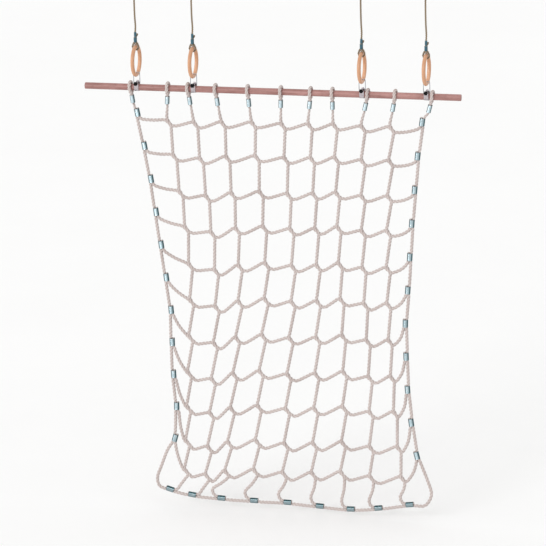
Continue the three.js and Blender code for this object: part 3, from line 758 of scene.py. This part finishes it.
def build_ceiling_plate(k, x):
    name = f"ceiling_plate_{k}"
    outline = rounded_rectangle(*PLATE_HALF, PLATE_CORNER)
    plate = bevelled(name, outline, PLATE_THICK, "steel_fitting", FITTING_EDGE, holes=PLATE_HOLES)
    piece = add_piece(name, placed(plate, x, 0, -PLATE_THICK), "ceiling")
    name = f"ceiling_lug_{k}"
    outline = [(LUG_HALF, LUG_TOP), (-LUG_HALF, LUG_TOP), *circle(LUG_HALF, 20, math.pi, 2 * math.pi)]
    holes = [(0, 0, LUG_HOLE)]
    lug = bevelled(name, outline, LUG_THICK, "steel_fitting", FITTING_EDGE, holes=holes)
    mesh = placed(lug, x - LUG_THICK / 2, 0, PIVOT_Z, TO_SIDE)
    lug_piece = add_piece(name, mesh, "ceiling", [f"ceiling_eye_{k}"])
    return piece, lug_piece


# ---------- rings, links, straps and knobs
RING_POINTS, RING_SIDES = 120, 32
LINK_CORNER_POINTS, LINK_STEP, LINK_SIDES = 8, 2.5, 14
WELD_BELOW, WELD_LONG, WELD_HIGH = 6, 2.4, 0.55  # under the middle of the link's right side
ARC_POINTS = 33  # round the bar, on each face of a strap
STRAP_EDGE, HEAD_EDGE = 0.7, 0.7
STRAP_AIR = 0.35  # between a strap and the bolt's head or the washer
HEAD_ACROSS, HEAD_HIGH = 15, 5.5
SHANK_IN = 1  # the shank starts this far behind the strap
SHANK_SIDES, WASHER_SIDES, KNOB_SIDES = 24, 40, 96
# Along the bolt, and the radius there. The washer's section is a closed one.
SHANK = [(0, BOLT_RADIUS), (69.5, BOLT_RADIUS), (71, 3)]
WASHER = [(0, 4.4), (0, 10.6), (0.4, 11), (1.2, 11), (1.6, 10.6), (1.6, 4.4)]
KNOB_LOBES = 6
# Height, radius and depth of the lobes, from the knob's foot round its grip to the dish in its face.
KNOB_PROFILE = [(0, 4.6, 0), (0, 9, 0), (0.5, 9.5, 0), (4, 9.5, 0), (5, 11.5, 0.5), (6, 14, 1)]
KNOB_PROFILE += [(7.5, 14.5, 1.1), (14, 14.5, 1.1), (16, 14, 1), (17.3, 12.6, 0.8), (18, 10, 0.5)]
KNOB_PROFILE += [(17.8, 7, 0.3), (17.2, 5, 0), (17, 2, 0)]


def build_ring(k, x):
    turn = round_angles(RING_POINTS)
    line = np.column_stack([0 * turn + x, RING_RADIUS * np.cos(turn), RING_Z + RING_RADIUS * np.sin(turn)])
    name = f"wooden_ring_{k}"
    radii = np.full(RING_SIDES, RING_WOOD)
    mesh = tube_mesh(name, line, radii, round_angles(RING_SIDES), 0, "ring_wood", closed=True)
    add_piece(name, mesh, f"hanger_{k}", [f"ring_{k}"])


def build_link(k, x):
    middle = (LINK_LOW + LINK_HIGH) / 2
    outline = rounded_rectangle(LINK_HALF, (LINK_HIGH - LINK_LOW) / 2, LINK_CORNER, LINK_CORNER_POINTS)
    line = smooth([(x + px, 0, middle + pz) for px, pz in outline], LINK_STEP, closed=True)[:-1]
    radii = np.full((len(line), LINK_SIDES), LINK_WIRE)
    off_weld = np.abs(line[:, 2] - middle + WELD_BELOW)
    weld = WELD_HIGH * np.exp(-((off_weld / WELD_LONG) ** 2))
    radii += np.where(line[:, 0] < x, 0, weld)[:, None]
    name = f"wire_link_{k}"
    mesh = tube_mesh(name, line, radii, round_angles(LINK_SIDES), 0, "steel_wire", closed=True)
    add_piece(name, mesh, "bar_set", [f"link_{k}"])


def build_strap(k, x):
    """A bent strap round the bar's underside, with two ears above it that narrow upwards."""
    ears = [(STRAP_OUTER, EAR_FOOT), (STRAP_OUTER, STRAP_TOP)]
    ears += [(STRAP_INNER, STRAP_TOP), (STRAP_INNER, EAR_FOOT)]
    outline = [*ears, *circle(STRAP_INNER, ARC_POINTS, 0, -math.pi)]
    outline += [(-y, z) for y, z in reversed(ears)]
    outline += circle(STRAP_OUTER, ARC_POINTS, -math.pi, 0)
    band = bevelled(f"strap_band_{k}", outline, STRAP_WIDTH, "chromed_strap", STRAP_EDGE)
    middle = STRAP_WIDTH * MM / 2
    for vertex in band.vertices:
        share = np.clip((vertex.co.y / MM - EAR_FOOT) / (STRAP_TOP - EAR_FOOT), 0, 1)
        vertex.co.z = middle + (vertex.co.z - middle) * (1 - (1 - EAR_SHARE) * share)
    mesh = placed(band, x - STRAP_WIDTH / 2, 0, BAR_Z, TO_SIDE)
    add_piece(f"strap_band_{k}", mesh, "bar_set", [f"strap_{k}"])


def hexagon(across):
    return circle(across / math.sqrt(3), 6)


def build_bolt(k, x):
    head = bevelled(f"bolt_head_{k}", hexagon(HEAD_ACROSS), HEAD_HIGH, "steel_fitting", HEAD_EDGE)
    mesh = placed(head, x, STRAP_OUTER + STRAP_AIR + HEAD_HIGH, BOLT_Z, TO_FRONT)
    add_piece(f"bolt_head_{k}", mesh, "bar_set", [f"bolt_{k}"])
    shank = turned(f"bolt_shank_{k}", SHANK, SHANK_SIDES, "steel_fitting")
    mesh = placed(shank, x, STRAP_OUTER + SHANK_IN, BOLT_Z, TO_FRONT)
    add_piece(f"bolt_shank_{k}", mesh, "bar_set")
    ring = turned(f"flat_washer_{k}", WASHER, WASHER_SIDES, "steel_fitting", hollow=True)
    mesh = placed(ring, x, -STRAP_OUTER - STRAP_AIR, BOLT_Z, TO_FRONT)
    add_piece(f"flat_washer_{k}", mesh, f"washer_{k}", [f"washer_{k}"])


def build_knob(k, x):
    """A star knob with six soft lobes, a domed face and a shallow dish in its middle."""
    angle = round_angles(KNOB_SIDES)
    rings = []
    for z, radius, lobe in KNOB_PROFILE:
        reach = radius + lobe * np.cos(KNOB_LOBES * angle)
        flat = np.full(KNOB_SIDES, float(z))
        rings.append(np.column_stack([reach * np.cos(angle), reach * np.sin(angle), flat]))
    star = stacked(f"star_knob_{k}", rings, "black_knob", KNOB_SHARP)
    mesh = placed(star, x, KNOB_BACK, BOLT_Z, TO_FRONT)
    add_piece(f"star_knob_{k}", mesh, f"knob_{k}", [f"knob_{k}"])


BAR_RINGS, BAR_SIDES = 120, 64
BAR_EDGE, BAR_EDGE_FALL = (0, 0.8, 1.8, 3.2), 2.2  # how far in from an end, and how far it is rounded off


def build_bar():
    half = BAR_LENGTH / 2
    edge = np.array(BAR_EDGE)
    middle = np.linspace(-half, half, BAR_RINGS)[1:-1]
    xs = np.concatenate([-half + edge, middle, half - edge[::-1]])
    line = np.column_stack([xs, 0 * xs, 0 * xs + BAR_Z])
    from_end = np.minimum(xs + half, half - xs)
    radii = BAR_RADIUS - BAR_EDGE_FALL * (1 - np.clip(from_end / edge[-1], 0, 1)) ** 2
    mesh = tube_mesh("wooden_bar", line, radii[:, None], round_angles(BAR_SIDES), 0, "bar_wood")
    mesh.set_sharp_from_angle(angle=BAR_SHARP)
    add_piece("wooden_bar", mesh, "bar_set", ["bar"])


# ---------- where the net's crossings lie
def along_column(values, row):
    """A smooth curve down the net through the values given at KNOT_ROWS."""
    k = 0
    while k < len(KNOT_ROWS) - 2 and row > KNOT_ROWS[k + 1]:
        k += 1

    def slope(i):
        before, after = max(i - 1, 0), min(i + 1, len(KNOT_ROWS) - 1)
        return (values[after] - values[before]) / (KNOT_ROWS[after] - KNOT_ROWS[before])

    span = KNOT_ROWS[k + 1] - KNOT_ROWS[k]
    t = (row - KNOT_ROWS[k]) / span
    rest = 1 - t
    straight = values[k] * (1 + 2 * t) * rest * rest + values[k + 1] * (3 - 2 * t) * t * t
    return straight + slope(k) * span * t * rest * rest - slope(k + 1) * span * rest * t * t


def crossing_at(row, column):
    sag = COLUMN_DROP[column] * math.sin(math.pi * (row + 1) / DROP_WAVE)
    return np.array([along_column(COLUMN_X[column], row), 0, BAR_Z - ROW_DROP[row] - sag])


LEFT = [np.array([x, 0, BAR_Z + EDGE_START - LEFT_PITCH * i]) for i, x in enumerate(LEFT_X)]
RIGHT = [np.array([x, 0, BAR_Z + EDGE_START - RIGHT_PITCH * i]) for i, x in enumerate(RIGHT_X)]
BOTTOM = [np.array([x, 0, BAR_Z - drop]) for x, drop in zip(BOTTOM_X, BOTTOM_DROP)]
ENTER = np.array([-CROSS_RUN, 0, CROSS_FALL])
ASIDE = unit(np.array([CROSS_FALL, 0, CROSS_RUN], float))  # across a crossing's diagonal, to the right and up
BEHIND = np.array([0, 1.0, 0])


def corner_points(offsets, ferrule):
    return [ferrule + np.array([x, 0, z]) for x, z in offsets]


LOW_LEFT = corner_points(LEFT_CORNER, BOTTOM[0])
LOW_RIGHT = corner_points(RIGHT_CORNER, BOTTOM[-1])


def direction_in(ferrules, i):
    """Halfway between the border rope's ways to the ferrule's neighbours. A side's topmost has only one."""
    here = ferrules[i]
    first = LOW_LEFT[-1] if ferrules is BOTTOM else None
    last = LOW_RIGHT[0] if ferrules is BOTTOM else LOW_LEFT[0] if ferrules is LEFT else LOW_RIGHT[-1]
    ways = []
    if i > 0 or first is not None:
        ways.append(unit(here - (ferrules[i - 1] if i else first)))
    ways.append(unit((ferrules[i + 1] if i + 1 < len(ferrules) else last) - here))
    return unit(sum(ways))


def inward(ferrules, i):
    d = direction_in(ferrules, i)
    across = np.array([-d[2], 0, d[0]])
    return -across if ferrules is RIGHT else across


def splice(row, column, sign):
    """A rope's way through a crossing, half a turn round the other rope."""
    middle = crossing_at(row, column)
    points = []
    for share, angle in SPLICE_TURN:
        a = math.radians(angle)
        points.append(middle + share * ENTER + sign * SPLICE * (math.cos(a) * ASIDE + math.sin(a) * BEHIND))
    return points


# ---------- ropes of the net
def loop_points(x, next_x):
    """The eye over the bar: the short end in front, over the bar, and down behind into the ferrule."""

    def lean(drop):
        return x + (next_x - x) * LOOP_LEAN * drop / LOOP_DROP

    low, high = LOOP_DROP + FERRULE_LENGTH / 2, LOOP_DROP - FERRULE_LENGTH / 2
    turn = []
    for a in map(math.radians, LOOP_TURN):
        z = LOOP_RADIUS * math.sin(a)
        turn.append((lean(max(0, -z)), LOOP_RADIUS * math.cos(a), BAR_Z + z))
    front = [(lean(drop), -PRESSED, BAR_Z - drop) for drop in (low + LOOP_TAIL, LOOP_DROP, high)]
    back = [(lean(drop), PRESSED, BAR_Z - drop) for drop in (high, LOOP_DROP, low + LOOP_STEM)]
    return [*front, *turn, *back]


def pressed_end(ferrules, i, towards):
    """An inner rope's end beside the border rope, pressed in a ferrule and showing just past it."""
    along = towards * direction_in(ferrules, i)
    side = inward(ferrules, i)
    half = FERRULE_LENGTH / 2
    steps = [(-half - CUT_END, 2 * PRESSED), (0, 2 * PRESSED)]
    steps += [(half + before, out) for before, out in PRESSED_ENTRY]
    return [ferrules[i] + across * side + step * along for step, across in steps]


def vertical_points(column):
    first = crossing_at(0, column) + ENTER
    points = [np.array(p, float) for p in loop_points(LOOP_X[column + 1], first[0])]
    for row in range(ROWS):
        through = splice(row, column, 1)
        if row:
            points += [points[-1] + t * (through[0] - points[-1]) for t in COLUMN_POINTS]
        points += through
    side = BOTTOM_ENTRY[column]
    end = pressed_end(BOTTOM, column, side)[::-1]
    last, turn_in = points[-1], end[0]
    if side > 0:
        foot = [last + t * (turn_in - last) for t in FOOT_POINTS]
    else:
        bulge = turn_in + np.array([FOOT_BULGE[0] * side, 0, FOOT_BULGE[1]])
        foot = [(last + bulge) / 2 + np.array([FOOT_ASIDE, 0, 0]), bulge]
    return [*points, *foot, turn_in + np.array([FOOT_TURN[0] * side, 0, FOOT_TURN[1]]), *end]


def horizontal_points(row):
    sag = MESH_SAG[0] + (MESH_SAG[1] - MESH_SAG[0]) * row / (ROWS - 1)
    points = pressed_end(LEFT, row, 1)
    first = crossing_at(row, 0) + ENTER
    points.append((points[-1] + first) / 2 + np.array(ROW_START))
    for column in range(COLUMNS):
        points += splice(row, column, -1)
        if column < COLUMNS - 1:
            start = crossing_at(row, column) - ENTER
            end = crossing_at(row, column + 1) + ENTER
            slack = sag * (1 + SAG_SPREAD * rng.uniform(-1, 1))
            points += [start + t * (end - start) - np.array([0, 0, share * slack]) for t, share in SAG_AT]
    end = pressed_end(RIGHT, row, 1)[::-1]
    points.append((points[-1] + end[0]) / 2 + np.array(ROW_END))
    return points + end


def border_points():
    def through(ferrules, i, sign):
        step = sign * direction_in(ferrules, i) * FERRULE_LENGTH / 2
        return [ferrules[i] - step, ferrules[i] + step]

    points = [np.array(p, float) for p in loop_points(LOOP_X[0], LEFT_X[0])]
    for i in range(len(LEFT)):
        points += through(LEFT, i, 1)
    points += LOW_LEFT
    for i in range(len(BOTTOM)):
        points += through(BOTTOM, i, 1)
    points += LOW_RIGHT
    for i in reversed(range(len(RIGHT))):
        points += through(RIGHT, i, -1)
    return points + [np.array(p, float) for p in loop_points(LOOP_X[-1], RIGHT_X[0])[::-1]]


def ferrule_mesh():
    """A pressed oval sleeve along its own Z, wide along X, with open ends and the press's flat bands."""
    sides = 48
    angle = round_angles(sides)
    wide, thick = FERRULE_HALF
    half = FERRULE_LENGTH / 2
    band_long = (FERRULE_LENGTH - 2 * BAND_MARGIN) / FERRULE_BANDS

    def oval(inset, flatten):
        r = thick - inset
        flat = wide - thick
        x = r * np.cos(angle) + flat * np.tanh(FERRULE_FLAT * np.cos(angle)) / math.tanh(FERRULE_FLAT)
        waist = 1 - flatten * np.exp(-((x / BAND_WIDE) ** 2))
        return x, r * np.sin(angle) * waist

    stations = [(-half + rise, inset, 0) for rise, inset in FERRULE_LIP]
    for band in range(FERRULE_BANDS):
        low = -half + BAND_MARGIN + band * band_long
        high = low + band_long
        stations += [(low + rise, inset, flatten) for rise, inset, flatten in BAND_EDGE]
        stations += [(high - rise, inset, flatten) for rise, inset, flatten in reversed(BAND_EDGE)]
    stations += [(half - rise, inset, 0) for rise, inset in reversed(FERRULE_LIP)]
    rings = []
    for z, inset, flatten in stations:
        x, y = oval(inset, flatten)
        rings.append(np.column_stack([x, y, np.full(sides, float(z))]))
    return stacked("ferrule", rings, "ferrule", FERRULE_SHARP)


def place_ferrule(name, shared, centre, along, across, rim_shade_reach):
    """One pressed sleeve: its Z lies along the ropes, and its X from one rope to the other."""
    depth = np.cross(along, across)
    columns = [Vector(across), Vector(depth), Vector(along)]
    turn = Matrix([[columns[c][r] for c in range(3)] for r in range(3)]).to_4x4()
    mesh = placed(shared, *centre, turn)
    mesh.name = name
    # Painted rim shade: the further a corner's normal turns away from the sleeve's Y, the darker it is
    # painted, plus the reach for its kind.
    normals = np.zeros(3 * len(mesh.vertices), np.float32)
    mesh.vertices.foreach_get("normal", normals)
    painted_rim_shade = mesh.attributes.new("painted_rim_shade", "FLOAT", "POINT")
    painted_rim_shade.data.foreach_set("value", 1 - np.abs(normals[1::3]) + rim_shade_reach)
    add_piece(name, mesh, "net")


def sleeve_places():
    """Each sleeve's kind, number, middle, direction along the ropes, and direction from rope to rope."""
    places = []
    column_x = [(crossing_at(0, c) + ENTER)[0] for c in range(COLUMNS)]
    next_x = [LEFT_X[0], *column_x, RIGHT_X[0]]
    for i, (x, nx) in enumerate(zip(LOOP_X, next_x)):
        shift = (nx - x) * LOOP_LEAN
        along = unit(np.array([-shift, 0, LOOP_DROP], float))
        centre = np.array([x + shift, 0, BAR_Z - LOOP_DROP])
        places.append(("loop", i + 1, centre, along, BEHIND))
    for kind, ferrules in (("left", LEFT), ("right", RIGHT), ("bottom", BOTTOM)):
        for i, middle in enumerate(ferrules):
            across = inward(ferrules, i)
            along = direction_in(ferrules, i)
            places.append((kind, i + 1, middle + PRESSED * across, along, across))
    return places


def build_net():
    routes = {"border_rope": border_points()}
    routes |= {f"vertical_rope_{c + 1}": vertical_points(c) for c in range(COLUMNS)}
    routes |= {f"horizontal_rope_{r + 1}": horizontal_points(r) for r in range(ROWS)}
    places = sleeve_places()
    sleeves = []
    for kind, _, centre, along, _ in places:
        sleeves.append((centre, along, TIGHT_RUN if kind == "loop" else SWELL_RUN))
    for node, points in routes.items():
        name = node.replace("_rope", "_strands")
        mesh, _ = rope_mesh(name, points, NET_ROPE, NET_LAY, "net_rope", NET_STEP, sleeves)
        add_piece(name, mesh, "net", [node])
    shared = ferrule_mesh()
    for kind, number, centre, along, across in places:
        place_ferrule(f"{kind}_ferrule_{number}", shared, centre, along, across, RIM_SHADE_REACH[kind])


# ---------- studio
SKY_STRENGTH = 0.88
KEY_DIRECTION = Vector((0.45, 0.81, -0.42))
KEY_STRENGTH, KEY_SPREAD = 1.25, 25
LAMP_AWAY = 5  # where the sun's lamp stands, which changes nothing in its light
FLOOR_HALF, FLOOR_BELOW = 40, 0.05


def add_key_light():
    light = bpy.data.lights.new("key", "SUN")
    light.energy = KEY_STRENGTH
    light.angle = math.radians(KEY_SPREAD)
    lamp = new_object("key", light)
    lamp.location = -LAMP_AWAY * KEY_DIRECTION
    lamp.rotation_euler = KEY_DIRECTION.to_track_quat("-Z", "Y").to_euler()


def add_studio():
    world = bpy.data.worlds.new("studio")
    world.use_nodes = True
    world.node_tree.nodes["Background"].inputs["Color"].default_value = (1, 1, 1, 1)
    world.node_tree.nodes["Background"].inputs["Strength"].default_value = SKY_STRENGTH
    bpy.context.scene.world = world
    bpy.context.scene.view_settings.view_transform = "Standard"
    add_key_light()
    floor_z = cad_box[0][2] - FLOOR_BELOW
    corners = [(FLOOR_HALF * x, FLOOR_HALF * y) for x, y in ((-1, -1), (1, -1), (1, 1), (-1, 1))]
    mesh = bpy.data.meshes.new("floor")
    mesh.from_pydata([(x, y, floor_z) for x, y in corners], [], [(0, 1, 2, 3)])
    mesh.materials.append(floor_material())
    floor = new_object("floor", mesh)


# ---------- build
add_camera()
for number, hanger_x in enumerate(HANGER_X, 1):
    rope, rope_line, rope_length = build_hanger(number, hanger_x)
    bow_piece = build_shackle(number, hanger_x)
    plate_piece, lug_piece = build_ceiling_plate(number, hanger_x)
    build_ring(number, hanger_x)
    build_link(number, hanger_x)
    build_strap(number, hanger_x)
    build_bolt(number, hanger_x)
    build_knob(number, hanger_x)
build_bar()
build_net()
add_studio()
